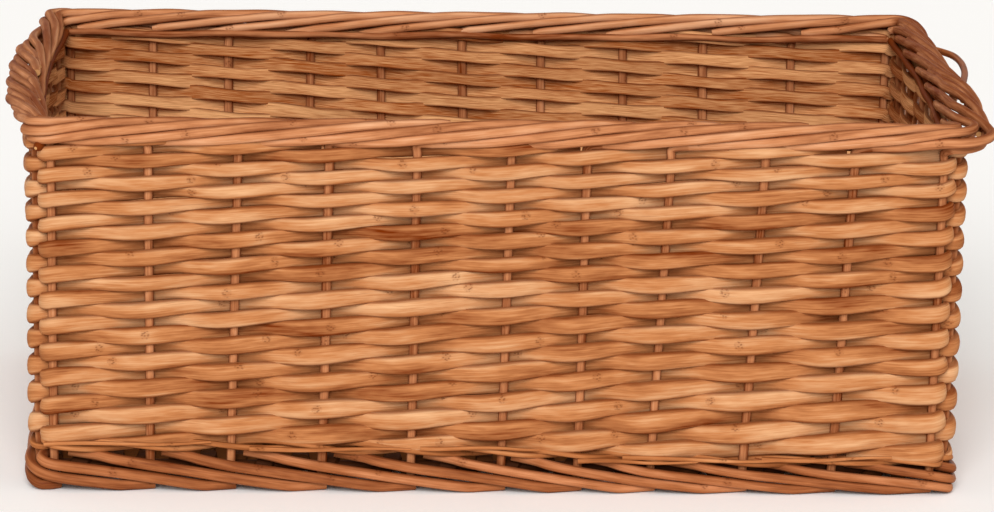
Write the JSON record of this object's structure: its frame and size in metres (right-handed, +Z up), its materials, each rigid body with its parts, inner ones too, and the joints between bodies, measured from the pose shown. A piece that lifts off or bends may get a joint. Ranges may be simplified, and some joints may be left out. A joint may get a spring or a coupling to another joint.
{
  "type": "rectangular willow basket",
  "caption": "Open rectangular basket of split willow woven on upright stakes, with a rolled rod border, a plaited foot, a woven base and a bow rod standing out from the rim at each end.",
  "frame": {"origin": "centre of the basket in plan, at the surface that the foot stands on", "axes": "+X along the length to the right, -Y to the front long wall, +Z up"},
  "size_m": [0.626, 0.3666, 0.2419],
  "materials": {
    "stake_willow": "buff willow rod, boiled and peeled, satin",
    "foot_willow": "buff willow rod, redder and darker, satin",
    "base_stick_willow": "thick buff willow stick, satin",
    "base_willow": "split buff willow, satin",
    "wale_willow": "thin buff willow rod, satin",
    "bow_willow": "buff willow rod, satin",
    "split_willow": "split buff willow, bark side out, satin"
  },
  "bodies": {
    "root": {"front_stakes": "stake_willow", "right_stakes": "stake_willow", "back_stakes": "stake_willow", "left_stakes": "stake_willow", "front_foot": "foot_willow", "right_foot": "foot_willow", "back_foot": "foot_willow", "left_foot": "foot_willow", "base_sticks": "base_stick_willow", "base_weaving": "base_willow", "lower_wale": "wale_willow", "upper_wale": "wale_willow", "right_bow_rod": "bow_willow", "left_bow_rod": "bow_willow", "weaver_01": "split_willow", "weaver_02": "split_willow", "weaver_03": "split_willow", "weaver_04": "split_willow", "weaver_05": "split_willow", "weaver_06": "split_willow", "weaver_07": "split_willow", "weaver_08": "split_willow", "weaver_09": "split_willow", "weaver_10": "split_willow", "weaver_11": "split_willow", "weaver_12": "split_willow", "weaver_13": "split_willow", "weaver_14": "split_willow", "weaver_15": "split_willow", "weaver_16": "split_willow", "weaver_17": "split_willow", "weaver_18": "split_willow", "weaver_19": "split_willow", "weaver_20": "split_willow", "weaver_21": "split_willow", "weaver_22": "split_willow", "weaver_23": "split_willow", "weaver_24": "split_willow", "weaver_25": "split_willow", "weaver_26": "split_willow", "weaver_27": "split_willow", "weaver_28": "split_willow"}
  },
  "joints": []
}
